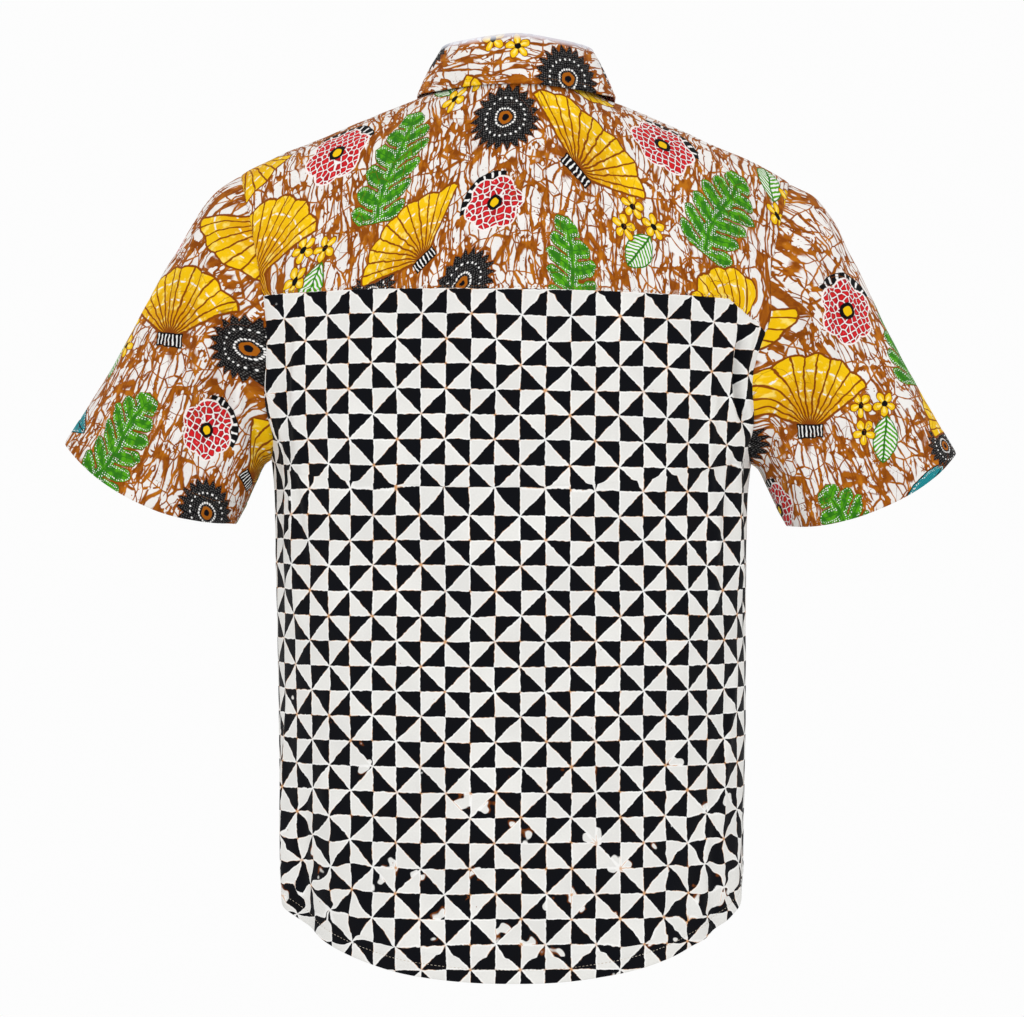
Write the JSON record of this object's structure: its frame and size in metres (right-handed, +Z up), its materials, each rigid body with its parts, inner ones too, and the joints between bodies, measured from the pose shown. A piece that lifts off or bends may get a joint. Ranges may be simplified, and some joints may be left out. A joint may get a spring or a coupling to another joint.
{
  "type": "batik shirt",
  "caption": "Short-sleeved collared batik shirt with a yoke and a buttoned front, holding the hollow form of a wearer; neck, sleeves and hem are open.",
  "frame": {"origin": "middle of the neck opening, at the level of the side neck points where the shoulder lines meet the collar; this is where the shirt hangs from the wearer's shoulders", "axes": "+Z up; the wearer faces -Y, so +Y is behind the back; +X is the wearer's left arm"},
  "size_m": [0.7723, 0.2535, 0.7948],
  "materials": {
    "pinwheel_batik": "matte printed plain-weave cotton, blue-black pinwheels on cream",
    "crackle_batik": "matte printed plain-weave cotton, orange-brown crackle on white with coloured motifs",
    "button_brown": "satin brown"
  },
  "bodies": {
    "root": {"back_panel": "pinwheel_batik", "yoke": "crackle_batik", "front_left": "pinwheel_batik", "front_right": "pinwheel_batik", "sleeve_left": "crackle_batik", "sleeve_right": "crackle_batik", "collar_stand": "crackle_batik", "collar_fall": "crackle_batik", "button_1": "button_brown", "button_2": "button_brown", "button_3": "button_brown", "button_4": "button_brown", "button_5": "button_brown", "button_6": "button_brown", "button_7": "button_brown"}
  },
  "joints": []
}
